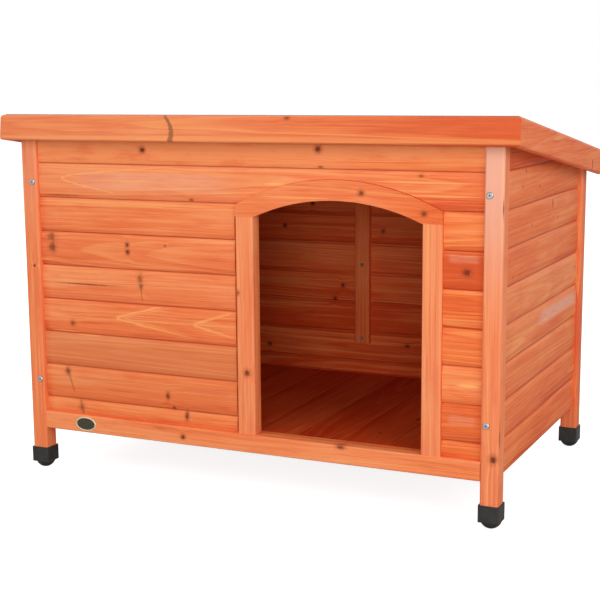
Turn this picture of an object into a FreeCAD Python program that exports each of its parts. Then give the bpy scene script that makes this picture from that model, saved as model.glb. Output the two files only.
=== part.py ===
import FreeCAD, Part
import math
import os

from FreeCAD import Vector

# Wooden dog house with a low-pitch hinged roof. Millimetres, +Z up, -Y is the front with the doorway.
# The origin is on the ground, under the middle of the roof.

# Overall body: outer faces of the four posts.
body_width = 976.0
body_depth = 609.0
post_side = 34.0
post_edge_round = 4.5
post_bottom = 16.0
wall_bottom = 85.5

# Wall boards, laid one above the other.
board_pitch = 66.9
board_thick = 12.0
board_set_back = 8.0
board_groove_depth = 3.5
board_edge_height = 14.0
board_gap = 0.5
tongue_height = 6.0
tongue_thick = 4.0
board_end_gap = 0.3
top_course_height = 94.3
back_seam_drop = 76.0

# Front sill, door casings and arched head.
sill_set_back = 1.0
sill_height = 35.3
casing_set_back = 3.0
casing_width = 36.0
door_side_margin = 143.7
door_width = 326.0
door_head_drop = 18.4
door_arch_rise = 35.0
arch_shoulder_height = 22.0
arch_crown_height = 71.5
casing_round = 3.0
arch_clearance = 0.5
casing_gap_left = 4.0
casing_gap_right = 0.5

# Inner timber.
batten_thick = 16.0
batten_width = 34.0
corner_batten_width = 20.0
rail_height = 34.0
door_batten_width = 44.0
door_batten_inset = 4.0
back_batten_lift = 69.2
back_batten_lap = 31.0

# Floor: two lift-out panels on ledges inside a frame of rails.
floor_board_thick = 12.0
floor_panel_gap = 2.0
floor_board_gap = 1.0
floor_edge_gap = 1.5
floor_boards_per_panel = 5
ledge_width = 20.0
bearer_width = 30.0
floor_batten_height = 18.0
floor_batten_width = 30.0
floor_batten_end_gap = 4.0
floor_batten_inset = 159.5

# Roof.
roof_angle = 7.7
roof_front_top = 713.7
fascia_height = 49.0
rear_fascia_height = 40.0
fascia_thick = 15.0
fascia_top_round = 7.0
fascia_low_round = 4.0
eave_front = 20.0
eave_side = 31.8
hinge_side_gap = 6.0
deck_thick = 10.0
deck_boards = 8
deck_board_gap = 1.0
seat_gap = 0.3
felt_thick = 1.0
roof_batten_height = 20.0
roof_batten_width = 34.0
roof_batten_inset = 219.0
roof_batten_front_gap = 40.0
roof_batten_rear_gap = 75.0

# Hinges along the rear edge of the roof.
hinge_inset = 208.0
hinge_length = 64.0
hinge_drop = 4.5
knuckle_radius = 3.5
knuckle_wall_gap = 0.5
knuckle_leaf_gap = 1.0
hinge_pin_radius = 1.6
hinge_running_gap = 0.05
knuckle_end_gap = 0.3
leaf_thick = 1.5
leaf_height = 30.0
leaf_screw_radius = 1.75
leaf_screw_head_radius = 3.4
leaf_screw_head = 1.2
leaf_screw_length = 10.0
leaf_screw_inset = 12.0
leaf_screw_height = 18.0

# Slotted lid stays. The roof pivot and the wall pin are equally far from the hinge line.
stay_reach = 250.0
stay_pivot_drop = 18.0
stay_start_angle = 12.0
roof_opening = 70.0
stay_pin_radius = 2.5
stay_slot_gap = 0.1
stay_rivet_gap = 0.05
stay_bar_width = 14.0
stay_bar_thick = 2.0
stay_bar_side_gap = 3.0
stay_washer_gap = 0.3
stay_head_radius = 5.5
stay_head_thick = 2.0
stay_pin_embed = 12.0
stay_end_play = 0.4
stay_tip_margin = 3.5
bracket_thick = 2.0
bracket_width = 26.0
bracket_flange = 22.0

# Screws in the posts and on the back batten.
screw_side_inset = 24.0
screw_low_lift = 100.5
screw_high_drop = 131.7
screw_head_radius = 5.9
screw_head_thick = 2.0
screw_shank_radius = 2.2
screw_length = 46.0
screw_recess_width = 1.4
screw_recess_depth = 1.2
batten_screw_inset = 11.0
batten_screw_top_drop = 39.4
batten_screw_length = 24.0
batten_screw_head_radius = 4.2

# Proportions of a pan screw head, as shares of its own thickness and radius.
screw_rim_share = 0.35
screw_crown_share = 0.78
screw_recess_share = 0.95

# Foot caps.
cap_wall = 2.1
cap_top = 43.8
cap_shoulder = 13.3
cap_flat_radius = 5.0
cap_corner_round = 2.0

# Blank oval plate on the sill.
plate_width = 47.0
plate_height = 29.0
plate_thick = 0.8
plate_inset = 129.0

# How far from exact a place or direction may be when edges are picked by where they lie.
edge_tolerance = 0.01

# Derived places.
x_axis = Vector(1, 0, 0)
y_axis = Vector(0, 1, 0)
z_axis = Vector(0, 0, 1)
origin = Vector(0, 0, 0)
far = body_width + body_depth
slope = math.radians(roof_angle)
rise = math.sin(slope)
run = math.cos(slope)
half_width = body_width / 2
roof_origin_from_front = -eave_front + fascia_height / 2 * rise
roof_length = fascia_thick + (
    body_depth + hinge_side_gap - roof_origin_from_front + rear_fascia_height * rise) / run
round_loss = fascia_low_round * (run + rise - 1)
footprint_front = roof_origin_from_front - fascia_height * rise + round_loss
footprint_rear = roof_origin_from_front + roof_length * run
front = -(footprint_front + footprint_rear) / 2
rear = front + body_depth
roof_origin = Vector(0, front + roof_origin_from_front, roof_front_top)
roof_half_width = half_width + eave_side
floor_top = wall_bottom + sill_height
ledge_top = floor_top - floor_board_thick
top_course_bottom = roof_front_top - top_course_height
back_course_bottom = top_course_bottom - back_seam_drop
door_side_top = top_course_bottom - door_head_drop - arch_crown_height
wall_inner = board_set_back + board_thick
rail_inner = wall_inner + batten_thick
post_inner_x = half_width - post_side
door_right = half_width - door_side_margin
door_left = door_right - door_width
door_centre_x = door_right - door_width / 2
back_batten_bottom = floor_top + back_batten_lift
back_batten_top = back_course_bottom + back_batten_lap
hinge_centre = half_width - hinge_inset
hinge_y = rear + knuckle_radius + knuckle_wall_gap


def save(shape, name):
    shape.exportStep("parts/" + name + ".step")


def box(x0, x1, y0, y1, z0, z1):
    return Part.makeBox(x1 - x0, y1 - y0, z1 - z0, Vector(x0, y0, z0))


def rod(radius, start, direction, length):
    return Part.makeCylinder(radius, length, start, direction)


def mirror_x(shape):
    return shape.mirror(origin, x_axis)


def on_roof(shape):
    """Place a shape drawn in the roof's own flat axes: X across, Y down the slope, Z out of the roof."""
    placed = shape.copy()
    placed.rotate(origin, x_axis, -roof_angle)
    placed.translate(roof_origin)
    return placed


def roof_point(x, along, height):
    y = roof_origin.y + along * run + height * rise
    z = roof_origin.z - along * rise + height * run
    return Vector(x, y, z)


def along_edges(shape, direction):
    """Straight edges of a shape that run along one axis."""
    chosen = []
    for edge in shape.Edges:
        if isinstance(edge.Curve, Part.Line):
            if edge.Curve.Direction.cross(direction).Length < edge_tolerance:
                chosen.append(edge)
    return chosen


def edges_facing(shape, direction, side):
    """Straight edges that run along one axis, on the face of the shape that looks to the given side."""
    edges = along_edges(shape, direction)
    farthest = max(edge.CenterOfMass.dot(side) for edge in edges)
    return [edge for edge in edges if farthest - edge.CenterOfMass.dot(side) < edge_tolerance]


def rounded_box(x0, x1, y0, y1, z0, z1, radius, direction):
    plain = box(x0, x1, y0, y1, z0, z1)
    return plain.makeFillet(radius, along_edges(plain, direction))


def tangent_arc(start, along, end):
    """Arc that leaves start in the given direction and ends at end."""
    chord = end - start
    across = (chord - along * chord.dot(along)).normalize()
    radius = chord.dot(chord) / (2 * chord.dot(across))
    centre = start + across * radius
    outward = ((start - centre) + (end - centre)).normalize()
    return Part.Arc(start, centre + outward * radius, end).toShape()


def space_above_walls():
    """Everything higher than the plane that the walls are trimmed to, just under the roof deck."""
    return on_roof(box(-far, far, -far, far, -(deck_thick + seat_gap), far))


def trimmed(shape):
    return shape.cut(space_above_walls())


def board_profile(bottom, top, with_groove, with_tongue):
    """Section of one board: depth from the outer face runs along +Y, height along +Z."""
    lower = bottom + board_gap / 2
    upper = top - board_gap / 2
    low_out = Vector(0, board_groove_depth, lower)
    low_face = Vector(0, 0, lower + board_edge_height)
    top_face = Vector(0, 0, upper - board_edge_height)
    top_out = Vector(0, board_groove_depth, upper)
    tongue_front = Vector(0, board_thick - tongue_thick, upper)
    tongue_top_front = Vector(0, board_thick - tongue_thick, upper + tongue_height)
    tongue_top_back = Vector(0, board_thick, upper + tongue_height)
    back_top = Vector(0, board_thick, upper)
    back_low = Vector(0, board_thick, lower + tongue_height + board_gap)
    groove_top = Vector(0, board_thick - tongue_thick - board_gap, lower + tongue_height + board_gap)
    groove_low = Vector(0, board_thick - tongue_thick - board_gap, lower)
    flat_low = Vector(0, board_thick, lower)
    edges = [
        tangent_arc(low_face, z_axis * -1, low_out),
        Part.makeLine(low_face, top_face),
        tangent_arc(top_face, z_axis, top_out)]
    if with_tongue:
        back = [top_out, tongue_front, tongue_top_front, tongue_top_back]
    else:
        back = [top_out, back_top]
    if with_groove:
        back = back + [back_low, groove_top, groove_low, low_out]
    else:
        back = back + [flat_low, low_out]
    for first, second in zip(back[:-1], back[1:]):
        edges.append(Part.makeLine(first, second))
    return Part.Face(Part.Wire(edges))


def wall_board(length, bottom, top, with_groove=True, with_tongue=True):
    """Board lying along +X from the origin with its outer face at Y = 0, facing -Y."""
    return board_profile(bottom, top, with_groove, with_tongue).extrude(Vector(length, 0, 0))


def front_board(x0, x1, bottom, top, with_groove=True, with_tongue=True):
    board = wall_board(x1 - x0, bottom, top, with_groove, with_tongue)
    board.translate(Vector(x0, front + board_set_back, 0))
    return board


def back_board(x0, x1, bottom, top, with_groove=True, with_tongue=True):
    board = wall_board(x1 - x0, bottom, top, with_groove, with_tongue)
    board.rotate(origin, z_axis, 180)
    board.translate(Vector(x1, rear - board_set_back, 0))
    return board


def right_board(y0, y1, bottom, top, with_groove=True, with_tongue=True):
    board = wall_board(y1 - y0, bottom, top, with_groove, with_tongue)
    board.rotate(origin, z_axis, 90)
    board.translate(Vector(half_width - board_set_back, y0, 0))
    return board


def course_heights(first_bottom, lowest):
    """Bottom and top of each course below the top one, from the highest down to the wall's bottom."""
    courses = []
    top = first_bottom
    while top - board_pitch > lowest + board_pitch / 4:
        courses.append((top - board_pitch, top))
        top = top - board_pitch
    courses.append((lowest, top))
    return courses


def screw(inward, seat, length, head_radius):
    """Cross-recess screw along Y. seat is the point under the head, inward points into the timber."""
    outward = inward * -1
    shank = rod(screw_shank_radius, seat, inward, length)
    rim = screw_head_thick * screw_rim_share
    head = rod(head_radius, seat, outward, rim)
    crown = Part.makeCone(head_radius, head_radius * screw_crown_share, screw_head_thick - rim,
                          seat + outward * rim, outward)
    body = shank.fuse(head).fuse(crown).removeSplitter()
    floor = seat + outward * (screw_head_thick - screw_recess_depth)
    slot_length = head_radius * screw_recess_share
    for arm, side in ((x_axis, z_axis), (z_axis, x_axis)):
        corner = floor - arm * (slot_length / 2) - side * (screw_recess_width / 2)
        base = Part.Face(Part.makePolygon([
            corner,
            corner + arm * slot_length,
            corner + arm * slot_length + side * screw_recess_width,
            corner + side * screw_recess_width,
            corner]))
        body = body.cut(base.extrude(outward * screw_head_thick))
    return body


def arch_outline(clearance, back_y, front_y):
    """Door head: flat ends over the casings, round top and round underside, as one solid."""
    half_outer = door_width / 2 + casing_width + clearance
    half_inner = door_width / 2
    bottom = door_side_top
    shoulder = bottom + arch_shoulder_height + clearance
    crown = bottom + arch_crown_height + clearance
    inner_crown = bottom + door_arch_rise
    centre = door_centre_x
    left_low = Vector(centre - half_outer, front_y, bottom)
    left_high = Vector(centre - half_outer, front_y, shoulder)
    top = Vector(centre, front_y, crown)
    right_high = Vector(centre + half_outer, front_y, shoulder)
    right_low = Vector(centre + half_outer, front_y, bottom)
    inner_right = Vector(centre + half_inner, front_y, bottom)
    inner_top = Vector(centre, front_y, inner_crown)
    inner_left = Vector(centre - half_inner, front_y, bottom)
    edges = [
        Part.makeLine(left_low, left_high),
        Part.Arc(left_high, top, right_high).toShape(),
        Part.makeLine(right_high, right_low),
        Part.makeLine(right_low, inner_right),
        Part.Arc(inner_right, inner_top, inner_left).toShape(),
        Part.makeLine(inner_left, left_low)]
    return Part.Face(Part.Wire(edges)).extrude(Vector(0, back_y - front_y, 0))


def door_space(front_y, back_y):
    """The doorway and its arched top, as a solid to cut boards with."""
    filled = arch_outline(arch_clearance, back_y, front_y)
    half = door_width / 2 + casing_width
    left = door_centre_x - half
    right = door_centre_x + half
    under = box(left - casing_gap_left, right + casing_gap_right, front_y, back_y, 0, door_side_top)
    middle = box(door_left, door_right, front_y, back_y, door_side_top, door_side_top + door_arch_rise)
    return filled.fuse(under).fuse(middle)


def post_corners():
    """Each post's name, with the X and Y of its left front edge."""
    return {
        "front_left": (-half_width, front),
        "front_right": (post_inner_x, front),
        "rear_left": (-half_width, rear - post_side),
        "rear_right": (post_inner_x, rear - post_side)}


def make_posts():
    """Four square posts, each trimmed to the roof's slope and drilled for its screws."""
    posts = {}
    for name, (x, y) in post_corners().items():
        post = rounded_box(x, x + post_side, y, y + post_side, post_bottom, roof_front_top,
                           post_edge_round, z_axis)
        post = trimmed(post)
        for seat, direction in post_screw_seats(name):
            post = post.cut(rod(screw_shank_radius, seat, direction, post_side))
        posts["post_" + name] = post
    return posts


def post_screw_seats(name):
    """Seat and direction of the screws in one post, which go in from the front or from behind."""
    if "left" in name:
        x = -half_width + screw_side_inset
    else:
        x = half_width - screw_side_inset
    if "front" in name:
        y = front
        direction = y_axis
    else:
        y = rear
        direction = y_axis * -1
    roof_fall = (y - front) * rise / run
    heights = (wall_bottom + screw_low_lift, roof_front_top - screw_high_drop - roof_fall)
    return [(Vector(x, y, z), direction) for z in heights]


def make_post_screws():
    screws = []
    for name in post_corners():
        for seat, direction in post_screw_seats(name):
            screws.append(screw(direction, seat, screw_length, screw_head_radius))
    return screws


def drill_for_post_screws(shape):
    for name in post_corners():
        for seat, direction in post_screw_seats(name):
            shape = shape.cut(rod(screw_shank_radius, seat, direction, screw_length))
    return shape


def make_foot_cap(x, y):
    """Moulded cap pushed on a post's foot. Its underside is part of a ball with a small flat to stand on."""
    outer = rounded_box(x - cap_wall, x + post_side + cap_wall, y - cap_wall, y + post_side + cap_wall,
                        cap_shoulder, cap_top, cap_corner_round, z_axis)
    pocket = rounded_box(x, x + post_side, y, y + post_side, post_bottom, cap_top,
                         post_edge_round, z_axis)
    centre_x = x + post_side / 2
    centre_y = y + post_side / 2
    dome_width = post_side / 2 + cap_wall
    flat_edge = Vector(cap_flat_radius, 0, 0)
    shoulder_edge = Vector(dome_width, 0, cap_shoulder)
    shoulder_centre = Vector(0, 0, cap_shoulder)
    ball_centre = z_axis * ((dome_width ** 2 + cap_shoulder ** 2 - cap_flat_radius ** 2) / (2 * cap_shoulder))
    ball_radius = (flat_edge - ball_centre).Length
    between = ((flat_edge - ball_centre) + (shoulder_edge - ball_centre)).normalize()
    section = Part.Face(Part.Wire([
        Part.Arc(flat_edge, ball_centre + between * ball_radius, shoulder_edge).toShape(),
        Part.makeLine(shoulder_edge, shoulder_centre),
        Part.makeLine(shoulder_centre, origin),
        Part.makeLine(origin, flat_edge)]))
    dome = section.revolve(origin, z_axis, 360)
    dome.translate(Vector(centre_x, centre_y, 0))
    return outer.fuse(dome).cut(pocket).removeSplitter()


def make_front_wall():
    inside = front + wall_inner
    ends = post_inner_x - board_end_gap
    cutter = door_space(front, inside)
    parts = {}
    parts["front_board_top"] = trimmed(front_board(-ends, ends, top_course_bottom, roof_front_top,
                                                   True, False))
    courses = course_heights(top_course_bottom, floor_top)
    over_door = front_board(-ends, ends, courses[0][0], courses[0][1]).cut(cutter)
    parts["front_board_over_door"] = over_door
    left = []
    right = []
    for bottom, top in courses[1:-1]:
        pieces = front_board(-ends, ends, bottom, top).cut(cutter).Solids
        pieces.sort(key=lambda solid: solid.CenterOfMass.x)
        left.append(pieces[0])
        right.append(pieces[-1])
    lowest = courses[-1]
    for x0, x1, group in ((-ends, door_left - casing_width - casing_gap_left, left),
                          (door_right + casing_width + casing_gap_right, ends, right)):
        group.append(front_board(x0, x1, lowest[0], lowest[1], False, True))
    parts["front_boards_left"] = Part.Compound(left)
    parts["front_boards_right"] = Part.Compound(right)
    sill = rounded_box(-post_inner_x, post_inner_x, front + sill_set_back, inside, wall_bottom, floor_top,
                       casing_round, x_axis)
    parts["front_sill"] = sill
    casing_left = casing(door_left - casing_width, door_left)
    casing_right = casing(door_right, door_right + casing_width)
    parts["door_casing_left"] = casing_left
    parts["door_casing_right"] = casing_right
    parts["door_arch"] = arch_outline(0, inside, front + casing_set_back)
    parts["door_batten_left"] = box(door_left - door_batten_inset - door_batten_width,
                                    door_left - door_batten_inset, inside, inside + batten_thick,
                                    floor_top, top_course_bottom)
    parts["door_batten_right"] = box(door_right + door_batten_inset,
                                     door_right + door_batten_inset + door_batten_width, inside,
                                     inside + batten_thick, floor_top, top_course_bottom)
    rail_end = half_width - rail_inner
    top_rail = box(-rail_end, rail_end, inside, inside + batten_thick, top_course_bottom, roof_front_top)
    parts["front_top_rail"] = trimmed(top_rail)
    parts["front_corner_battens"] = corner_pair(inside, inside + batten_thick, top_course_bottom)
    return parts


def corner_pair(y0, y1, top):
    """Upright battens beside the posts, behind the ends of a front or back wall's boards."""
    outer = half_width - rail_inner
    batten = box(outer - corner_batten_width, outer, y0, y1, floor_top, top)
    return Part.Compound([batten, mirror_x(batten)])


def casing(x0, x1):
    """Upright board beside the doorway, with its two front edges rounded."""
    plain = box(x0, x1, front + casing_set_back, front + wall_inner, floor_top, door_side_top)
    return plain.makeFillet(casing_round, edges_facing(plain, z_axis, y_axis * -1))


def make_side_wall():
    """Right-hand wall; the left one is its mirror image."""
    y0 = front + post_side + board_end_gap
    y1 = rear - post_side - board_end_gap
    inner_x = half_width - wall_inner
    boards = [trimmed(right_board(y0, y1, top_course_bottom, roof_front_top, True, False))]
    courses = course_heights(top_course_bottom, wall_bottom)
    for bottom, top in courses[:-1]:
        boards.append(trimmed(right_board(y0, y1, bottom, top)))
    boards.append(right_board(y0, y1, courses[-1][0], courses[-1][1], False, True))
    parts = {"boards": Part.Compound(boards)}
    rail = box(inner_x - batten_thick, inner_x, front + rail_inner, rear - rail_inner, 0, roof_front_top)
    wall_top = -(deck_thick + seat_gap)
    strip = on_roof(box(0, roof_half_width, -far, far, wall_top - rail_height, wall_top))
    parts["top_rail"] = rail.common(strip)
    parts["floor_rail"] = box(inner_x - batten_thick, inner_x, front + rail_inner, rear - rail_inner,
                              wall_bottom, floor_top)
    stop = on_roof(box(0, roof_half_width, -far, far, wall_top - rail_height, far))
    mid = box(inner_x - batten_thick, inner_x, stay_wall_pin.y - batten_width / 2,
              stay_wall_pin.y + batten_width / 2, floor_top, roof_front_top).cut(stop)
    pin_hole = rod(stay_pin_radius, Vector(inner_x - batten_thick, stay_wall_pin.y, stay_wall_pin.z),
                   x_axis, stay_pin_embed)
    parts["middle_batten"] = mid.cut(pin_hole)
    front_batten = box(inner_x - batten_thick, inner_x, front + post_side,
                       front + rail_inner + corner_batten_width, floor_top, roof_front_top)
    rear_batten = box(inner_x - batten_thick, inner_x, rear - rail_inner - corner_batten_width,
                      rear - post_side, floor_top, roof_front_top)
    battens = []
    for batten in (front_batten, rear_batten):
        battens.append(drill_for_post_screws(batten.cut(stop)))
    parts["corner_battens"] = Part.Compound(battens)
    return parts


def make_back_wall():
    inside = rear - wall_inner
    ends = post_inner_x - board_end_gap
    parts = {}
    rail = trimmed(box(-post_inner_x, post_inner_x, inside, rear, back_course_bottom, roof_front_top))
    for x in hinge_screw_places():
        start = Vector(x, rear, hinge_z + leaf_screw_height)
        rail = rail.cut(rod(leaf_screw_radius, start, y_axis * -1, leaf_screw_length))
    parts["back_top_rail"] = rail
    boards = []
    courses = course_heights(back_course_bottom, wall_bottom)
    first = courses[0]
    boards.append(back_board(-ends, ends, first[0], first[1], True, False))
    for bottom, top in courses[1:-1]:
        boards.append(back_board(-ends, ends, bottom, top))
    boards.append(back_board(-ends, ends, courses[-1][0], courses[-1][1], False, True))
    lowest_screw = back_batten_bottom + batten_screw_inset
    highest_screw = back_batten_top - batten_screw_top_drop
    screw_heights = (lowest_screw, (lowest_screw + highest_screw) / 2, highest_screw)
    tip_length = batten_screw_length - batten_thick
    for index, board in enumerate(boards):
        for height in screw_heights:
            board = board.cut(rod(screw_shank_radius, Vector(0, inside, height), y_axis, tip_length))
        boards[index] = board
    parts["back_boards"] = Part.Compound(boards)
    parts["back_corner_battens"] = corner_pair(rear - rail_inner, inside, back_course_bottom)
    batten = rounded_box(-batten_width / 2, batten_width / 2, inside - batten_thick, inside,
                         back_batten_bottom, back_batten_top, casing_round, z_axis)
    screws = []
    for height in screw_heights:
        seat = Vector(0, inside - batten_thick, height)
        batten = batten.cut(rod(screw_shank_radius, seat, y_axis, batten_thick))
        screws.append(screw(y_axis, seat, batten_screw_length, batten_screw_head_radius))
    parts["back_middle_batten"] = batten
    parts["back_batten_screws"] = Part.Compound(screws)
    return parts


def make_floor_frame():
    """Rails level with the floor at the front and back, ledges under the panels' ends, one bearer."""
    inner_x = half_width - rail_inner
    front_rail = box(-post_inner_x, post_inner_x, front + wall_inner, front + rail_inner,
                     wall_bottom, floor_top)
    back_rail = box(-post_inner_x, post_inner_x, rear - rail_inner, rear - wall_inner,
                    wall_bottom, floor_top)
    front_ledge = box(-inner_x, inner_x, front + rail_inner, front + rail_inner + ledge_width,
                      wall_bottom, ledge_top)
    back_ledge = box(-inner_x, inner_x, rear - rail_inner - ledge_width, rear - rail_inner,
                     wall_bottom, ledge_top)
    bearer = box(-bearer_width / 2, bearer_width / 2, front + rail_inner + ledge_width,
                 rear - rail_inner - ledge_width, wall_bottom, ledge_top)
    return {
        "front_floor_rail": front_rail,
        "back_floor_rail": back_rail,
        "floor_ledges": Part.Compound([front_ledge, back_ledge]),
        "floor_middle_bearer": bearer}


def make_floor_panel():
    """Right-hand panel: boards that run front to back on two cross battens."""
    x0 = floor_panel_gap / 2
    x1 = half_width - rail_inner - floor_edge_gap
    y0 = front + rail_inner + floor_edge_gap
    y1 = rear - rail_inner - floor_edge_gap
    width = (x1 - x0 - floor_board_gap * (floor_boards_per_panel - 1)) / floor_boards_per_panel
    boards = []
    for index in range(floor_boards_per_panel):
        left = x0 + index * (width + floor_board_gap)
        boards.append(box(left, left + width, y0, y1, ledge_top + seat_gap, floor_top))
    battens = []
    for centre in (y0 + floor_batten_inset, y1 - floor_batten_inset):
        battens.append(box(bearer_width / 2 + floor_batten_end_gap, x1 - floor_batten_end_gap,
                           centre - floor_batten_width / 2, centre + floor_batten_width / 2,
                           ledge_top + seat_gap - floor_batten_height, ledge_top + seat_gap))
    return {"boards": Part.Compound(boards), "battens": Part.Compound(battens)}


def fascia(x0, x1, start, end, height, direction, outside):
    """Board that hangs on the roof's edge, drawn flat, with its two outer edges rounded."""
    board = box(x0, x1, start, end, -height, 0)
    for radius, level in ((fascia_low_round, -height), (fascia_top_round, 0)):
        edges = [edge for edge in edges_facing(board, direction, outside)
                 if abs(edge.CenterOfMass.z - level) < edge_tolerance]
        board = board.makeFillet(radius, edges)
    return board


def fascia_wedge(corners):
    """Three-cornered block as tall as the fascia, to cut a mitre with."""
    outline = [Vector(x, y, -fascia_height) for x, y in corners + corners[:1]]
    return Part.Face(Part.makePolygon(outline)).extrude(z_axis * fascia_height)


def make_roof():
    """Fascia boards, mitred at the front corners, round a boarded deck with felt on top and battens below."""
    parts = {}
    half = roof_half_width
    inner = half - fascia_thick
    front_fascia = fascia(-half, half, 0, fascia_thick, fascia_height, x_axis, y_axis * -1)
    rear_fascia = fascia(-inner, inner, roof_length - fascia_thick, roof_length, rear_fascia_height,
                         x_axis, y_axis)
    side_fascia = fascia(inner, half, 0, roof_length, fascia_height, y_axis, x_axis)
    behind_mitre = fascia_wedge([(half, 0), (half, fascia_thick), (inner, fascia_thick)])
    before_mitre = fascia_wedge([(half, 0), (inner, fascia_thick), (inner, 0)])
    front_fascia = front_fascia.cut(behind_mitre).cut(mirror_x(behind_mitre))
    side_fascia = side_fascia.cut(before_mitre)
    parts["roof_fascia_front"] = on_roof(front_fascia)
    parts["roof_fascia_right"] = on_roof(side_fascia)
    parts["roof_fascia_left"] = on_roof(mirror_x(side_fascia))
    foot, up, into = moving_leaf_frame()
    rear_placed = on_roof(rear_fascia)
    for x in hinge_screw_places():
        seat = x_axis * x + foot + up * (leaf_screw_height - hinge_drop)
        rear_placed = rear_placed.cut(rod(leaf_screw_radius, seat, into, leaf_screw_length))
    parts["roof_fascia_rear"] = rear_placed
    clear = roof_length - 2 * fascia_thick
    width = (clear - deck_board_gap * (deck_boards - 1)) / deck_boards
    boards = []
    for index in range(deck_boards):
        start = fascia_thick + index * (width + deck_board_gap)
        boards.append(on_roof(box(-inner, inner, start, start + width, -deck_thick, 0)))
    parts["roof_deck"] = Part.Compound(boards)
    felt_half = half - fascia_top_round
    felt = box(-felt_half, felt_half, fascia_top_round, roof_length - fascia_top_round, 0, felt_thick)
    parts["roof_felt"] = on_roof(felt)
    battens = []
    first = (rail_inner + roof_batten_front_gap - roof_origin_from_front) / run
    last = (body_depth - rail_inner - roof_batten_rear_gap - roof_origin_from_front) / run
    side_batten = half - roof_batten_inset
    for centre in (-side_batten, 0, side_batten):
        battens.append(on_roof(box(centre - roof_batten_width / 2, centre + roof_batten_width / 2,
                                   first, last, -deck_thick - roof_batten_height, -deck_thick)))
    parts["roof_battens"] = Part.Compound(battens)
    return parts


def hinge_screw_places():
    """X of each screw hole in the hinge leaves."""
    reach = hinge_length / 2 - leaf_screw_inset
    return [side * hinge_centre + turn * reach for side in (-1, 1) for turn in (-1, 1)]


def moving_leaf_frame():
    """Point on the rear fascia's inner face at its bottom edge, the way up the face, and the way into it."""
    foot = roof_point(0, roof_length - fascia_thick, -rear_fascia_height)
    up = Vector(0, rise, run)
    into = Vector(0, run, -rise)
    return foot, up, into


def knuckles(x0, x1):
    return rod(knuckle_radius, Vector(x0, hinge_y, hinge_z), x_axis, x1 - x0)


def slab(corner, across, up, thickness):
    """Flat plate with one corner given, two edge vectors, and its thickness as a vector."""
    outline = [corner, corner + across, corner + across + up, corner + up, corner]
    return Part.Face(Part.makePolygon(outline)).extrude(thickness)


def fixed_leaf(left, right, bore):
    """Leaf on the wall's top rail with the two outer knuckles."""
    third = hinge_length / 3
    plate = box(left, right, rear, rear + leaf_thick, hinge_z, hinge_z + leaf_height)
    notch = box(left + third - knuckle_end_gap, right - third + knuckle_end_gap, rear, rear + leaf_thick,
                hinge_z, hinge_z + knuckle_radius + knuckle_leaf_gap)
    leaf = plate.cut(notch)
    leaf = leaf.fuse(knuckles(left, left + third - knuckle_end_gap))
    leaf = leaf.fuse(knuckles(right - third + knuckle_end_gap, right))
    return leaf.cut(bore).removeSplitter()


def moving_leaf(left, right, bore):
    """Leaf on the rear fascia's inner face, with a tab down to the middle knuckle."""
    third = hinge_length / 3
    foot, up, into = moving_leaf_frame()
    corner = x_axis * left + foot - into * leaf_thick
    leaf = slab(corner, x_axis * hinge_length, up * (leaf_height - hinge_drop), into * leaf_thick)
    tab_corner = corner + x_axis * third
    low_outer = Vector(left + third, hinge_y + knuckle_radius, hinge_z)
    low_inner = low_outer - y_axis * leaf_thick
    tab = Part.Face(Part.makePolygon([
        low_inner,
        low_outer,
        tab_corner + into * leaf_thick,
        tab_corner,
        low_inner])).extrude(x_axis * third)
    whole = leaf.fuse(tab).fuse(knuckles(left + third, right - third))
    return whole.cut(bore).removeSplitter()


def make_hinges():
    """Two butt hinges. Outer knuckles and pin stay on the wall, and the middle knuckle lifts with the roof."""
    fixed_leaves = []
    moving_leaves = []
    pins = []
    fixed_screws = []
    moving_screws = []
    foot, up, into = moving_leaf_frame()
    for centre in (-hinge_centre, hinge_centre):
        left = centre - hinge_length / 2
        right = centre + hinge_length / 2
        pin_end = Vector(left, hinge_y, hinge_z)
        fixed = fixed_leaf(left, right, rod(hinge_pin_radius, pin_end, x_axis, hinge_length))
        loose_bore = rod(hinge_pin_radius + hinge_running_gap, pin_end, x_axis, hinge_length)
        moving = moving_leaf(left, right, loose_bore)
        for x in hinge_screw_places():
            if left < x < right:
                seat = Vector(x, rear + leaf_thick, hinge_z + leaf_screw_height)
                fixed = fixed.cut(rod(leaf_screw_radius, seat, y_axis * -1, leaf_thick))
                fixed_screws.append(flat_screw(seat, y_axis * -1))
                moving_seat = x_axis * x + foot + up * (leaf_screw_height - hinge_drop) - into * leaf_thick
                moving = moving.cut(rod(leaf_screw_radius, moving_seat, into, leaf_thick))
                moving_screws.append(flat_screw(moving_seat, into))
        fixed_leaves.append(fixed)
        moving_leaves.append(moving)
        pins.append(rod(hinge_pin_radius, pin_end, x_axis, hinge_length))
    return {
        "hinge_fixed_leaves": Part.Compound(fixed_leaves),
        "hinge_moving_leaves": Part.Compound(moving_leaves),
        "hinge_pins": Part.Compound(pins),
        "hinge_fixed_screws": Part.Compound(fixed_screws),
        "hinge_moving_screws": Part.Compound(moving_screws)}


def flat_screw(seat, inward):
    """Small screw with a low round head, for the hinge leaves."""
    shank = rod(leaf_screw_radius, seat, inward, leaf_screw_length)
    head = rod(leaf_screw_head_radius, seat - inward * leaf_screw_head, inward, leaf_screw_head)
    return shank.fuse(head).removeSplitter()


# Height of the hinge line, below the inner bottom edge of the rear fascia.
hinge_z = roof_point(0, roof_length - fascia_thick, -rear_fascia_height).z - hinge_drop

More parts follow.
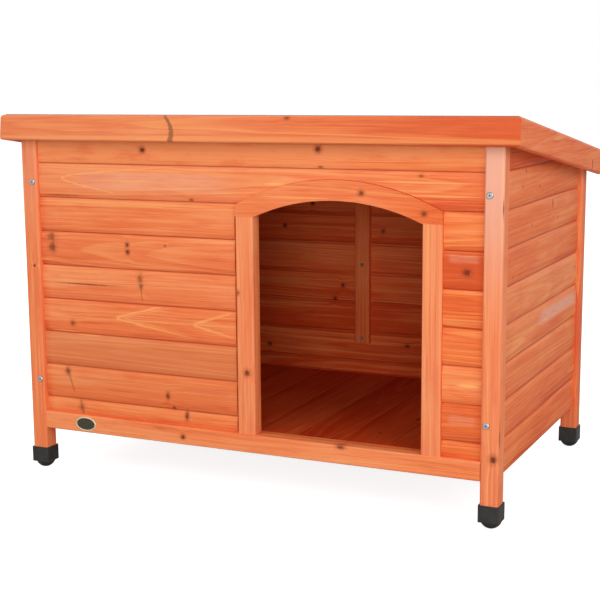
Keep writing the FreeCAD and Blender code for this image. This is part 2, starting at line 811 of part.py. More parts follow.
# Lid stay geometry in the Y-Z plane, measured from the hinge line.
pivot_along = (hinge_y - stay_reach - roof_origin.y) / run
stay_pivot = roof_point(0, pivot_along, -(deck_thick + stay_pivot_drop))
stay_radius = math.hypot(stay_pivot.y - hinge_y, stay_pivot.z - hinge_z)
stay_pivot_angle = math.degrees(math.atan2(stay_pivot.z - hinge_z, stay_pivot.y - hinge_y))
wall_pin_angle = math.radians(stay_pivot_angle + stay_start_angle)
stay_wall_pin = Vector(0, hinge_y + stay_radius * math.cos(wall_pin_angle),
                       hinge_z + stay_radius * math.sin(wall_pin_angle))
stay_short = 2 * stay_radius * math.sin(math.radians(stay_start_angle / 2))
stay_long = 2 * stay_radius * math.sin(math.radians((stay_start_angle + roof_opening) / 2))
stay_outer_x = half_width - rail_inner - stay_bar_side_gap
stay_inner_x = stay_outer_x - stay_bar_thick


def make_stay():
    """Right-hand stay: a flat bar that hangs from the roof, with a long slot round the wall pin."""
    towards = (stay_wall_pin - stay_pivot).normalize()
    half = stay_bar_width / 2
    slot_half = stay_pin_radius + stay_slot_gap
    first = stay_short - stay_end_play
    last = stay_long + stay_end_play
    tip = last + slot_half + stay_tip_margin
    bar = round_ended_bar(0, tip, half)
    slot = round_ended_bar(first, last, slot_half)
    hole = rod(stay_pin_radius + stay_rivet_gap, origin, x_axis, stay_bar_thick)
    flat = bar.cut(slot).cut(hole)
    angle = math.degrees(math.atan2(towards.z, towards.y))
    flat.rotate(origin, x_axis, angle)
    flat.translate(Vector(stay_inner_x, stay_pivot.y, stay_pivot.z))
    return flat


def round_ended_bar(start, end, half):
    """Bar of the stay's thickness that lies along +Y, with round ends centred at start and end."""
    middle = box(0, stay_bar_thick, start, end, -half, half)
    head = rod(half, Vector(0, start, 0), x_axis, stay_bar_thick)
    tail = rod(half, Vector(0, end, 0), x_axis, stay_bar_thick)
    return middle.fuse(head).fuse(tail).removeSplitter()


def make_stay_wall_pin():
    """Shoulder pin screwed into the side wall's middle batten, with a washer face and a round head."""
    x_batten = half_width - rail_inner
    y = stay_wall_pin.y
    z = stay_wall_pin.z
    inward = x_axis * -1
    collar = rod(stay_head_radius, Vector(x_batten, y, z), inward, stay_bar_side_gap - stay_washer_gap)
    shaft = rod(stay_pin_radius, Vector(x_batten + stay_pin_embed, y, z), inward,
                stay_pin_embed + stay_bar_side_gap + stay_bar_thick + stay_washer_gap)
    head_x = stay_inner_x - stay_washer_gap
    head = rod(stay_head_radius, Vector(head_x, y, z), inward, stay_head_thick)
    return collar.fuse(shaft).fuse(head).removeSplitter()


def make_stay_bracket():
    """Angle bracket under the roof deck with a riveted pin that carries the stay's top end."""
    y = stay_pivot.y
    z = stay_pivot.z
    plate_outer = stay_inner_x - stay_washer_gap
    plate_inner = plate_outer - bracket_thick
    half = bracket_width / 2
    low = -(deck_thick + stay_pivot_drop + half)
    upright = box(plate_inner, plate_outer, pivot_along - half, pivot_along + half, low, -deck_thick)
    flange = box(plate_inner - bracket_flange, plate_inner, pivot_along - half, pivot_along + half,
                 -deck_thick - bracket_thick, -deck_thick)
    plate = on_roof(upright.fuse(flange))
    rivet = rod(stay_pin_radius, Vector(plate_outer, y, z), x_axis,
                stay_bar_thick + 2 * stay_washer_gap)
    cap = rod(stay_head_radius, Vector(stay_outer_x + stay_washer_gap, y, z), x_axis,
              stay_head_thick)
    return plate.fuse(rivet).fuse(cap).removeSplitter()


def make_plate():
    """Blank oval plate on the sill's face."""
    oval = Part.Ellipse(origin, plate_width / 2, plate_height / 2).toShape()
    plate = Part.Face(Part.Wire([oval])).extrude(Vector(0, 0, plate_thick))
    plate.rotate(origin, x_axis, 90)
    plate.translate(Vector(plate_inset - half_width, front + sill_set_back, wall_bottom + sill_height / 2))
    return plate


def main():
    os.makedirs("parts", exist_ok=True)
    nodes = {}
    nodes.update(make_posts())
    for name, (x, y) in post_corners().items():
        nodes["foot_cap_" + name] = make_foot_cap(x, y)
    nodes["post_screws"] = Part.Compound(make_post_screws())
    nodes.update(make_front_wall())
    for name, shape in make_side_wall().items():
        if name in ("boards", "corner_battens"):
            nodes["right_" + name] = shape
            nodes["left_" + name] = mirror_x(shape)
        else:
            nodes["side_" + name + "s"] = Part.Compound([shape, mirror_x(shape)])
    nodes.update(make_back_wall())
    nodes.update(make_floor_frame())
    for name, shape in make_floor_panel().items():
        nodes["floor_" + name + "_right"] = shape
        nodes["floor_" + name + "_left"] = mirror_x(shape)
    nodes.update(make_roof())
    nodes.update(make_hinges())
    for name, shape in (("stay", make_stay()), ("stay_bracket", make_stay_bracket())):
        nodes[name + "_right"] = shape
        nodes[name + "_left"] = mirror_x(shape)
    wall_pin = make_stay_wall_pin()
    nodes["stay_wall_pins"] = Part.Compound([wall_pin, mirror_x(wall_pin)])
    nodes["oval_plate"] = make_plate()
    for name, shape in nodes.items():
        save(shape, name)
    return nodes


main()
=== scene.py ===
import math

import bmesh
import bpy
from mathutils import Matrix, Vector


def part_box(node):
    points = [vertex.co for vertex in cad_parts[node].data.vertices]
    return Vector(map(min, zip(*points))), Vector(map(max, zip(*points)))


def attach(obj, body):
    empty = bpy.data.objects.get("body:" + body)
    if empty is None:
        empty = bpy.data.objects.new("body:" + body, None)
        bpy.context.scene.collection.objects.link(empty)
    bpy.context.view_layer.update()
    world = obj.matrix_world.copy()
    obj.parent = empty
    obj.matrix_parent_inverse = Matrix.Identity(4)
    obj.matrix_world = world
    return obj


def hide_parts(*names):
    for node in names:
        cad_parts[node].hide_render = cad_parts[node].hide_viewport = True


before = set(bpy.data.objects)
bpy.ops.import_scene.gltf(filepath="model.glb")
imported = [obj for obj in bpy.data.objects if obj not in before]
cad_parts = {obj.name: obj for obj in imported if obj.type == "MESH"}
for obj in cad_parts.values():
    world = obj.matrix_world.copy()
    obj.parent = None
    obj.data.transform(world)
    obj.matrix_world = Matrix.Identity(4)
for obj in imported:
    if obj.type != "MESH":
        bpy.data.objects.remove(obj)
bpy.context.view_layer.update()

# Places of the timber in mm, in the frame of the model. A seam is the height of a lowest joint.
BOARD_PITCH = 66.9
FRONT_SEAM = 151.1
BACK_SEAM = 142.0
SIDE_SEAM = 151.1
FLOOR_BOARD = 90.3
FRONT_DEPTH = -296.3            # Y from which the front timber's growth rings are counted
POST_X = 471.0
FRONT_POST_Y = -289.0
REAR_POST_Y = 286.0
FRONT_SCREW_FACE = 306.2207     # way from the origin to the faces that the post screws lie on
REAR_SCREW_FACE = 302.7793

# Which of X, Y and Z run along, across and into the boards.
ALONG_X = (0, 2, 1)             # walls at the front and back
ALONG_Y = (1, 2, 0)             # walls at the sides
UPRIGHT = (2, 0, 1)
DECK_ALONG_X = (0, 1, 2)
DECK_ALONG_Y = (1, 0, 2)

# Growth rings and grain of the pine, in mm.
RING_WIDTH = 5.2
SEED_SHIFT = 4000.0             # how far a board's seed moves it along the noise
SWAY = 16.0                     # how far the grain wanders across the board
BEND_SHARE = 0.6                # how much of a knot's bend the grain follows
PITH_ACROSS = 60.0
PITH_LEAN = 0.10                # slope of the pith line against the board
PITH_DEPTH = 16.0
PITH_DEPTH_SPREAD = 30.0
RING_WAVE = 8.0
ROW_STEP = 1.7                  # seed from one board of a course to the next
KNOT_STEP = 311.0               # turns a material's seed into a place among the scattered knots
KNOT_CELL = (120, 95)           # one scattered knot at most in each of these
FRAY = 0.9                      # unevenness of a knot's edge, in knot radii
BEND_LIMIT = 5.0
WOOD_GLOSS = 0.1

# Sockets of Blender's nodes that have no name of their own.
OBJECT_PLACE = 3                # output of Texture Coordinate
RANDOM_COLOUR = 1               # output of White Noise
MIX_FACTOR, MIX_FIRST, MIX_SECOND, MIX_RESULT = 0, 6, 7, 2


def srgb(red, green, blue):
    """Linear colour from 0-255 screen values."""
    linear = []
    for value in (red, green, blue):
        part = value / 255
        linear.append(part / 12.92 if part <= 0.04045 else ((part + 0.055) / 1.055) ** 2.4)
    return (*linear, 1.0)


# Colours of the stained pine, from the sapwood's light salmon to the knots' dark brown.
LIGHT = srgb(248, 150, 94)
MIDDLE = srgb(238, 118, 60)
DEEP = srgb(214, 76, 30)
PALE = srgb(253, 178, 108)
PINK = srgb(240, 176, 150)
DULL = srgb(210, 126, 80)
BLUSH = srgb(228, 96, 56)
SEAM_DARK = srgb(176, 48, 14)
# Painted shade: the colour that faces turned into the house are multiplied towards.
SHADE = srgb(190, 110, 70)
KNOT_RING = srgb(158, 66, 36)
KNOT_CORE = srgb(98, 40, 26)
SCAR = srgb(134, 84, 54)


class Graph:
    """Adds shader nodes to one node tree and links them."""

    def __init__(self, tree):
        self.tree = tree
        tree.nodes.clear()

    def put(self, socket, value):
        if isinstance(value, bpy.types.NodeSocket):
            self.tree.links.new(value, socket)
        else:
            socket.default_value = value

    def add(self, kind, inputs=(), out=0, **settings):
        node = self.tree.nodes.new("ShaderNode" + kind)
        for key, value in settings.items():
            setattr(node, key, value)
        for key, value in dict(inputs).items():
            self.put(node.inputs[key], value)
        return node.outputs[out]

    def math(self, operation, first, second=0.0, third=0.0):
        return self.add("Math", {0: first, 1: second, 2: third}, operation=operation)

    def plus(self, first, second):
        return self.math("ADD", first, second)

    def minus(self, first, second):
        return self.math("SUBTRACT", first, second)

    def times(self, first, second):
        return self.math("MULTIPLY", first, second)

    def over(self, first, second):
        return self.math("DIVIDE", first, second)

    def most(self, first, second):
        return self.math("MAXIMUM", first, second)

    def size(self, value):
        return self.math("ABSOLUTE", value)

    def length(self, first, second):
        return self.math("SQRT", self.plus(self.times(first, first), self.times(second, second)))

    def swing(self, value, reach):
        """A value from 0 to 1 as a swing from -reach / 2 to reach / 2."""
        return self.times(self.minus(value, 0.5), reach)

    def offset(self, value, centre, unit):
        """How far value is past centre, in units."""
        return self.times(self.minus(value, centre), 1 / unit)

    def away(self, value, centre, unit):
        """How far value is from centre on either side, in units."""
        return self.times(self.size(self.minus(value, centre)), 1 / unit)

    def combine(self, x=0.0, y=0.0, z=0.0):
        return self.add("CombineXYZ", {0: x, 1: y, 2: z})

    def split(self, kind, value):
        """The three parts of a vector or colour; kind is XYZ or Color."""
        node = self.tree.nodes.new("ShaderNodeSeparate" + kind)
        self.put(node.inputs[0], value)
        return list(node.outputs)

    def smooth(self, value, low, high, start=0.0, end=1.0):
        """Smooth step of value from low to high, as start to end."""
        return self.add("MapRange", {0: value, 1: low, 2: high, 3: start, 4: end},
                        interpolation_type="SMOOTHSTEP")

    def noise(self, vector, scale=1.0, detail=2.0, roughness=0.5):
        return self.add("TexNoise", {"Vector": vector, "Scale": scale, "Detail": detail,
                                     "Roughness": roughness})

    def mix(self, factor, first, second, blend="MIX"):
        node = self.tree.nodes.new("ShaderNodeMix")
        node.data_type = "RGBA"
        node.blend_type = blend
        self.put(node.inputs[MIX_FACTOR], factor)
        self.put(node.inputs[MIX_FIRST], first)
        self.put(node.inputs[MIX_SECOND], second)
        return node.outputs[MIX_RESULT]

    def place(self):
        """X, Y and Z of the surface point in millimetres."""
        metres = self.add("TexCoord", out=OBJECT_PLACE)
        return self.split("XYZ", self.add("VectorMath", {0: metres, "Scale": 1000.0},
                                          operation="SCALE"))

    def random(self, seed):
        """Three random numbers from 0 to 1 that belong to seed."""
        return self.split("Color", self.add("TexWhiteNoise", {"W": seed}, out=RANDOM_COLOUR,
                                            noise_dimensions="1D"))

    def finish(self, colour, roughness, height, bump, depth, **sockets):
        """Principled shader with its output; sockets are set on it as plain numbers."""
        shader = self.tree.nodes.new("ShaderNodeBsdfPrincipled")
        self.put(shader.inputs["Base Color"], colour)
        self.put(shader.inputs["Roughness"], roughness)
        for key, value in sockets.items():
            self.put(shader.inputs[key.replace("_", " ")], value)
        normal = self.add("Bump", {"Strength": bump, "Distance": depth, "Height": height})
        self.put(shader.inputs["Normal"], normal)
        self.end("Material", shader.outputs[0])

    def end(self, kind, surface):
        node = self.tree.nodes.new("ShaderNodeOutput" + kind)
        self.tree.links.new(surface, node.inputs[0])


def new_material(name):
    material = bpy.data.materials.new(name)
    material.use_nodes = True
    return material, Graph(material.node_tree)


def make_grain_group():
    """Stained pine, with painted shade on the faces turned into the house. Place is along, across
    and into the board in mm.
    """
    tree = bpy.data.node_groups.new("pine_grain", "ShaderNodeTree")
    tree.interface.new_socket(name="Place", in_out="INPUT", socket_type="NodeSocketVector")
    for name in ("Seed", "Bend", "Core", "Halo", "Pale", "Scar", "Seam Dark", "Tone", "Pink", "Dull",
                 "Inner"):
        tree.interface.new_socket(name=name, in_out="INPUT", socket_type="NodeSocketFloat")
    for name, kind in (("Colour", "NodeSocketColor"), ("Roughness", "NodeSocketFloat"),
                       ("Height", "NodeSocketFloat")):
        tree.interface.new_socket(name=name, in_out="OUTPUT", socket_type=kind)
    g = Graph(tree)
    entry = tree.nodes.new("NodeGroupInput").outputs
    along, across, into = g.split("XYZ", entry["Place"])
    first, second, third = g.random(entry["Seed"])
    shift = g.times(first, SEED_SHIFT)
    moved = g.plus(along, shift)
    bowed = g.plus(across, g.times(entry["Bend"], BEND_SHARE))
    wander = g.noise(g.combine(g.times(moved, 0.0022), shift), detail=1.0)
    swayed = g.plus(bowed, g.swing(wander, SWAY))

    def stretched(scale_along, scale_across, detail, roughness=0.55):
        point = g.combine(g.times(moved, scale_along), g.times(swayed, scale_across),
                          g.times(into, scale_across))
        return g.noise(point, 1.0, detail, roughness)

    # Growth rings: distance from a pith line that leans a little against the board.
    side = g.minus(swayed, g.swing(second, PITH_ACROSS))
    lean = g.times(along, g.swing(third, PITH_LEAN))
    behind = g.plus(g.times(first, PITH_DEPTH_SPREAD), PITH_DEPTH)
    radius = g.length(side, g.plus(g.plus(into, lean), behind))
    radius = g.plus(radius, g.swing(stretched(0.003, 0.02, 2.0), RING_WAVE))
    phase = g.over(radius, RING_WIDTH)
    ring = g.math("FLOOR", phase)
    fraction = g.minus(phase, ring)
    chance = g.random(g.plus(g.times(ring, 7.31), entry["Seed"]))
    late = g.times(g.smooth(fraction, 0.3, 0.85), g.smooth(fraction, 0.9, 1.0, 1.0, 0.0))
    pale_line = g.times(late, g.smooth(chance[0], 0.5, 1.0))
    dark_line = g.times(g.smooth(fraction, 0.0, 0.45, 1.0, 0.0), chance[1])

    # Tone from dark (0) to light (1), from broad clouds down to single fibres.
    streak = stretched(0.006, 0.6, 4.0, 0.6)
    fine = stretched(0.016, 2.4, 2.0)
    bands = stretched(0.0028, 0.16, 3.0, 0.6)
    broad = stretched(0.0035, 0.016, 2.0)
    tone = g.swing(streak, 1.1)
    for part, reach in ((fine, 0.9), (bands, 1.1), (broad, 1.1), (third, 0.4)):
        tone = g.plus(tone, g.swing(part, reach))
    tone = g.plus(g.plus(tone, entry["Tone"]), 0.5)
    tone = g.minus(tone, g.times(dark_line, 0.16))

    lower = g.mix(g.smooth(tone, 0.0, 0.5), DEEP, MIDDLE)
    colour = g.mix(g.smooth(tone, 0.45, 1.05), lower, LIGHT)
    cloud_place = g.combine(g.times(moved, 0.011), g.times(swayed, 0.055), shift)
    cloud = g.smooth(g.noise(cloud_place, 1.0, 4.0, 0.65), 0.48, 0.7, 0.0, 0.42)
    pale = g.most(g.times(pale_line, 0.3), entry["Pale"])
    for share, layer in ((cloud, BLUSH), (entry["Pink"], PINK), (entry["Dull"], DULL),
                         (pale, PALE), (g.times(entry["Halo"], 0.5), KNOT_RING),
                         (entry["Scar"], SCAR), (entry["Core"], KNOT_CORE),
                         (entry["Seam Dark"], SEAM_DARK)):
        colour = g.mix(share, colour, layer)
    # Painted shade on the faces turned into the house.
    colour = g.mix(entry["Inner"], colour, SHADE, "MULTIPLY")

    rough = g.plus(g.plus(g.times(streak, 0.2), 0.4), g.times(entry["Core"], 0.12))
    height = g.plus(g.times(streak, 0.6), g.times(fine, 0.4))
    height = g.minus(g.plus(height, g.times(late, 0.2)), g.times(entry["Core"], 0.7))
    leave = tree.nodes.new("NodeGroupOutput")
    for name, value in (("Colour", colour), ("Roughness", rough), ("Height", height)):
        g.put(leave.inputs[name], value)
    return tree


GRAIN = make_grain_group()


def knot_edges(g, distance, wobble, core, halo):
    """Dark core and reddish halo by the distance from a knot's middle, in knot radii."""
    rough = g.plus(distance, wobble)
    return g.smooth(rough, 0.35, 1.1, core, 0.0), g.smooth(rough, 0.7, 2.1, halo, 0.0)


def knot_wobble(g, first, second):
    return g.swing(g.noise(g.combine(first, second), 0.22, 2.0), FRAY)


def knot_marks(g, first, second, marks):
    """Core, halo and bend of the grain round knots, given as the tables of knots below."""
    core, halo, bend = 0.0, 0.0, 0.0
    wobble = knot_wobble(g, first, second)
    for at, height, wide, tall, strength in marks:
        dx = g.offset(first, at, wide)
        dz = g.offset(second, height, tall)
        distance = g.length(dx, dz)
        dark, ring = knot_edges(g, distance, wobble, strength, strength)
        core = g.most(core, dark)
        halo = g.most(halo, ring)
        # A crack is drawn as a long flat knot, and bends no grain.
        if wide < 3 * tall:
            near = g.smooth(distance, 0.0, BEND_LIMIT, BEND_LIMIT * min(1.0, strength), 0.0)
            lift = g.most(g.times(near, dz), -BEND_LIMIT)
            bend = g.plus(bend, g.math("MINIMUM", lift, BEND_LIMIT))
    return core, halo, bend


def scattered_knots(g, along, across, seed, share):
    """The same for knots in random places; share is the part of the knot cells that has one."""
    point = g.combine(g.times(g.plus(along, seed), 1 / KNOT_CELL[0]),
                      g.times(across, 1 / KNOT_CELL[1]))
    voronoi = g.tree.nodes.new("ShaderNodeTexVoronoi")
    voronoi.voronoi_dimensions = "2D"
    for socket, value in (("Vector", point), ("Scale", 1.0), ("Randomness", 0.8)):
        g.put(voronoi.inputs[socket], value)
    chance = g.split("Color", voronoi.outputs["Color"])
    there = g.math("LESS_THAN", chance[0], share)
    radius = g.plus(g.times(chance[1], 0.022), 0.024)
    distance = g.over(voronoi.outputs["Distance"], radius)
    dark, ring = knot_edges(g, distance, knot_wobble(g, along, across), 0.85, 0.9)
    near = g.smooth(distance, 0.0, BEND_LIMIT, 4.0, 0.0)
    return g.times(dark, there), g.times(ring, there), g.times(near, there)


def pale_curves(g, along, across, curves):
    """Light growth-ring tongues, given as the tables of curves below."""
    total = 0.0
    ragged = g.noise(g.combine(g.times(along, 0.02), g.times(across, 0.25)), detail=2.0)
    across = g.plus(across, g.swing(ragged, 5.0))
    for tip, height, above, below, blunt, reach, width, strength in curves:
        dv = g.minus(across, height)
        arm = g.math("SQRT", g.plus(g.times(dv, dv), blunt * blunt))
        slope = g.smooth(dv, -0.5, 0.5, below, above)
        du = g.times(g.minus(along, tip), 1.0 if reach > 0 else -1.0)
        gap = g.size(g.minus(du, g.times(g.minus(arm, blunt), slope)))
        tilt = g.times(slope, g.over(g.size(dv), arm))
        spread = g.times(g.plus(tilt, 1.3), width)
        mark = g.smooth(g.over(gap, spread), 0.0, 1.0, strength, 0.0)
        mark = g.times(mark, g.smooth(du, abs(reach) * 0.15, abs(reach), 1.0, 0.0))
        mark = g.times(mark, g.smooth(g.size(dv), 25.0, 30.0, 1.0, 0.0))
        total = g.most(total, mark)
    return total


def pale_streaks(g, along, across, streaks):
    """Light slivers along the board: (middle, height, half length, half height, strength)."""
    total = 0.0
    for middle, height, half_length, half_height, strength in streaks:
        dx = g.offset(along, middle, half_length)
        dz = g.offset(across, height, half_height)
        distance = g.plus(g.times(dx, dx), g.size(dz))
        total = g.most(total, g.smooth(distance, 0.3, 1.0, strength, 0.0))
    return total


def pink_patches(g, along, across, patches):
    """Worn pinkish places: (middle, height, half length, half height, strength)."""
    total = 0.0
    grain = g.noise(g.combine(g.times(along, 0.03), g.times(across, 0.5)), 1.0, 3.0, 0.6)
    grain = g.smooth(grain, 0.3, 0.65, 0.35, 1.0)
    for middle, height, half_length, half_height, strength in patches:
        dx = g.away(along, middle, half_length)
        dz = g.away(across, height, half_height)
        mark = g.times(g.smooth(dx, 0.55, 1.0, strength, 0.0), g.smooth(dz, 0.45, 1.0, 1.0, 0.0))
        total = g.most(total, g.times(mark, grain))
    return total


def scars(g, first, second, marks):
    """Brown bands left by branches, given as the tables of marks below."""
    total = 0.0
    ragged = g.noise(g.combine(g.times(first, 0.1), g.times(second, 0.3)), 1.0, 3.0)
    fray = g.swing(ragged, 1.1)
    for x0, z0, x1, z1, bow, half0, half1, strength in marks:
        share = g.offset(second, z0, z1 - z0)
        arch = g.times(g.times(share, g.minus(1.0, share)), 4 * bow)
        centre = g.plus(g.plus(g.times(share, x1 - x0), x0), arch)
        half = g.plus(g.times(share, half1 - half0), half0)
        gap = g.over(g.size(g.minus(first, centre)), half)
        mark = g.smooth(g.plus(gap, fray), 0.45, 1.15, strength, 0.0)
        mark = g.times(mark, g.smooth(share, -0.06, 0.06))
        mark = g.times(mark, g.smooth(share, 0.94, 1.06, 1.0, 0.0))
        total = g.most(total, mark)
    return total


def pine(name, axes, seed, course=None, knots=(), curves=(), streaks=(), marks=(), share=0.0,
         tone=0.0, rows=None, centre=(0.0, 0.0), groove=3.2, pink=0.0, dull=0.0, indoor_shade=None,
         fades=(), patches=(), front_face=None):
    """Stained pine material. axes says which of X, Y, Z runs along, across and into the boards.

    course is (seam, pitch) of boards that lie edge to edge. rows gives a board's own
    (tone, pink, dull) by its number above the seam. groove is the width of the dark edge of each
    board. centre is the place across and into the boards that the rings are counted from.
    indoor_shade is (place, place, strength): painted shade on the faces turned into the house,
    which starts at the first place into the board and is full at the second. fades change tone
    and
    pink from one place to another: (axis, place, place, tone, pink). front_face is (place, place)
    into the board: knots and fades show up to the first and are gone from the second. share
    scatters knots. knots, curves, streaks, marks and patches are tables of single marks.
    """
    material, g = new_material(name)
    point = g.place()
    along, across, into = (point[axis] for axis in axes)
    key = seed
    seam_dark = 0.0
    inside = g.minus(into, centre[1])
    if course:
        base, pitch = course
        row = g.math("FLOOR", g.over(g.minus(across, base), pitch))
        within = g.minus(g.minus(across, base), g.times(row, pitch))
        key = g.plus(g.times(row, ROW_STEP), seed)
        local = g.minus(within, pitch / 2)
        edge = g.math("MINIMUM", within, g.minus(pitch, within))
        # Each board is darker along its edges, at the seams.
        seam_dark = g.smooth(edge, 0.1, groove, 0.45, 0.0)
        # Painted shade along a board's lower edge and a painted highlight along its rounded upper
        # one, as if lit from above.
        tone = g.plus(tone, g.smooth(within, 0.0, pitch * 0.6, -0.22, 0.0))
        tone = g.plus(tone, g.smooth(within, pitch * 0.7, pitch, 0.0, 0.12))
        for number, (row_tone, row_pink, row_dull) in (rows or {}).items():
            chosen = g.math("COMPARE", row, float(number), 0.5)
            tone = g.plus(tone, g.times(chosen, row_tone))
            pink = g.plus(pink, g.times(chosen, row_pink))
            dull = g.plus(dull, g.times(chosen, row_dull))
    else:
        local = g.minus(across, centre[0])
    core, halo, bend = knot_marks(g, along, across, knots)
    shown = 1.0
    if front_face:
        shown = g.smooth(into, front_face[0], front_face[1], 1.0, 0.0)
        core, halo = g.times(core, shown), g.times(halo, shown)
    for axis, start, end, fade_tone, fade_pink in fades:
        part = g.times(g.smooth(point[axis], start, end), shown)
        tone = g.plus(tone, g.times(part, fade_tone))
        pink = g.plus(pink, g.times(part, fade_pink))
    pink = g.plus(pink, pink_patches(g, along, across, patches))
    if share:
        more = scattered_knots(g, along, across, seed * KNOT_STEP, share)
        core = g.most(core, more[0])
        halo = g.most(halo, more[1])
        bend = g.plus(bend, more[2])
    pale = g.most(pale_curves(g, along, across, curves), pale_streaks(g, along, across, streaks))
    # Painted shade on the faces turned into the house, growing from the first place into the
    # board to the second.
    painted_indoor_shade = g.smooth(into, indoor_shade[0], indoor_shade[1], 0.0, indoor_shade[2]) if indoor_shade else 0.0
    node = g.tree.nodes.new("ShaderNodeGroup")
    node.node_tree = GRAIN
    values = {"Place": g.combine(along, local, inside), "Seed": key, "Bend": bend, "Core": core,
              "Halo": halo, "Pale": pale, "Scar": scars(g, along, across, marks), "Seam Dark": seam_dark,
              "Tone": tone, "Pink": pink, "Dull": dull, "Inner": painted_indoor_shade}
    for socket, value in values.items():
        g.put(node.inputs[socket], value)
    g.finish(node.outputs["Colour"], node.outputs["Roughness"], node.outputs["Height"],
             bump=0.3, depth=0.0004, Specular_IOR_Level=WOOD_GLOSS)
    return material


def plastic(name, colour):
    material, g = new_material(name)
    point = g.combine(*g.place())
    speck = g.noise(point, 0.9, 3.0, 0.6)
    wear = g.noise(point, 0.06, 2.0, 0.5)
    tint = g.mix(g.smooth(wear, 0.35, 0.7, 0.0, 0.35), colour, srgb(66, 64, 61))
    g.finish(tint, g.plus(g.times(speck, 0.18), 0.42), speck, bump=0.25, depth=0.0002,
             Specular_IOR_Level=0.35)
    return material


def metal(name, colour, dull, roughness=0.3):
    material, g = new_material(name)
    x, y, z = g.place()
    brushed_place = g.combine(g.times(x, 0.3), g.times(y, 0.3), g.times(z, 4.0))
    brushed = g.noise(brushed_place, 1.0, 3.0, 0.6)
    spots = g.noise(g.combine(x, y, z), 0.35, 3.0, 0.6)
    tint = g.mix(g.smooth(spots, 0.4, 0.75), colour, dull)
    g.finish(tint, g.plus(g.times(brushed, 0.2), roughness), brushed, bump=0.12, depth=0.0001,
             Metallic=0.9)
    return material


def screw_steel(name):
    """Steel of screw heads: bright on the crown, with painted shade in dark bluish steel in the
    recess and at the rim.
    """
    material, g = new_material(name)
    x, y, z = g.place()
    proud = g.most(g.minus(g.times(y, -1.0), FRONT_SCREW_FACE), g.minus(y, REAR_SCREW_FACE))
    scratch = g.noise(g.combine(x, y, z), 1.2, 2.0, 0.6)
    tint = g.mix(g.smooth(scratch, 0.35, 0.7), srgb(214, 222, 226), srgb(168, 182, 190))
    # Painted shade: the steel turns dark and bluish in the recess and at the foot of the head.
    tint = g.mix(g.smooth(proud, 0.6, 1.5, 0.85, 0.0), tint, srgb(40, 58, 72))
    g.finish(tint, g.plus(g.times(scratch, 0.2), 0.28), scratch, bump=0.15, depth=0.0001,
             Metallic=0.9)
    return material


def felt(name):
    """Mineral roofing felt: fine grit in grey with a faint mottling."""
    material, g = new_material(name)
    point = g.combine(*g.place())
    grit = g.noise(point, 0.75, 3.0, 0.75)
    cloud = g.noise(point, 0.012, 3.0, 0.6)
    tint = g.mix(g.smooth(grit, 0.35, 0.65), srgb(78, 74, 68), srgb(140, 134, 124))
    tint = g.mix(g.smooth(cloud, 0.35, 0.7, 0.0, 0.4), tint, srgb(104, 104, 98))
    g.finish(tint, g.plus(g.times(grit, 0.12), 0.8), grit, bump=0.6, depth=0.0008,
             Specular_IOR_Level=0.2)
    return material


def dress(material, *names):
    """Gives CAD nodes their material."""
    for name in names:
        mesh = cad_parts[name].data
        mesh.materials.clear()
        mesh.materials.append(material)


# Knots as (place along X or Y, height, half width, half height, strength) in mm.
LEFT_KNOTS = (
    (-430.0, 475.5, 11.0, 9.0, 0.45), (-428.0, 454.2, 9.0, 10.0, 0.6),
    (-254.6, 466.0, 4.5, 5.0, 0.8), (-253.9, 452.5, 5.0, 5.0, 0.85),
    (-170.3, 467.9, 2.6, 3.0, 0.5), (-351.0, 384.3, 62.0, 1.3, 0.8),
    (-227.6, 401.7, 6.0, 10.0, 0.5), (-225.8, 388.0, 5.0, 6.0, 0.55),
    (-385.8, 304.7, 6.0, 5.5, 0.6), (-402.1, 206.0, 6.5, 7.0, 0.55),
    (-371.7, 135.1, 8.0, 9.0, 0.35), (-171.9, 176.8, 4.5, 7.0, 0.75),
    (-159.2, 154.3, 4.5, 3.5, 0.6), (-130.8, 141.4, 4.5, 9.0, 0.75))
TOP_KNOTS = ((-215.1, 647.5, 6.5, 5.5, 0.9), (147.2, 654.4, 6.5, 6.5, 0.85),
             (150.9, 622.5, 5.0, 2.5, 0.6))
OVER_KNOTS = ((-111.8, 556.6, 5.0, 2.5, 0.6), (339.4, 611.3, 5.0, 3.0, 0.5),
              (-400.0, 557.5, 52.0, 1.2, 0.5))
RIGHT_KNOTS = ((423.6, 448.8, 8.0, 7.0, 0.75),)
SIDE_KNOTS = (
    (203.6, 82.0, 6.0, 6.0, 0.8), (55.5, 539.1, 3.0, 8.0, 0.7), (-137.0, 612.4, 3.5, 3.5, 0.6),
    (-44.6, 579.0, 3.0, 3.0, 0.5), (-161.2, 585.9, 3.0, 3.0, 0.5), (97.8, 508.3, 3.0, 3.0, 0.4),
    (-94.5, 512.2, 3.0, 3.0, 0.4), (-213.1, 431.5, 3.0, 3.0, 0.4), (253.7, 389.8, 4.0, 4.0, 0.4))
BACK_KNOTS = (
    (-52.0, 316.3, 5.0, 5.0, 0.9), (-71.8, 285.1, 5.0, 5.0, 0.9), (-196.4, 447.3, 5.0, 5.0, 0.9),
    (-126.8, 500.0, 5.0, 5.0, 0.9), (-238.2, 167.6, 6.0, 5.0, 0.9), (44.6, 443.2, 5.0, 5.0, 0.7),
    (103.1, 187.4, 6.0, 5.0, 0.8))
SILL_KNOTS = ((-136.6, 100.9, 5.5, 5.0, 0.85), (192.0, 117.5, 9.0, 3.5, 0.75),
              (-188.0, 113.0, 16.0, 1.5, 0.3))
ARCH_KNOTS = ((231.0, 579.7, 6.0, 5.0, 0.75), (347.2, 547.1, 6.0, 5.0, 0.7))

# Light tongues as (tip, height, slope above, slope below, roundness, reach, width, strength).
LEFT_CURVES = (
    (-280.0, 322.0, 3.8, 6.8, 3.0, 250.0, 3.0, 0.7),
    (-108.9, 320.6, 3.2, 5.0, 3.0, 130.0, 3.0, 0.65),
    (-262.0, 323.0, 4.2, 7.2, 3.0, 200.0, 2.0, 0.35))
OVER_CURVES = ((-399.0, 591.5, 13.5, 6.0, 9.0, 400.0, 1.7, 0.85),)

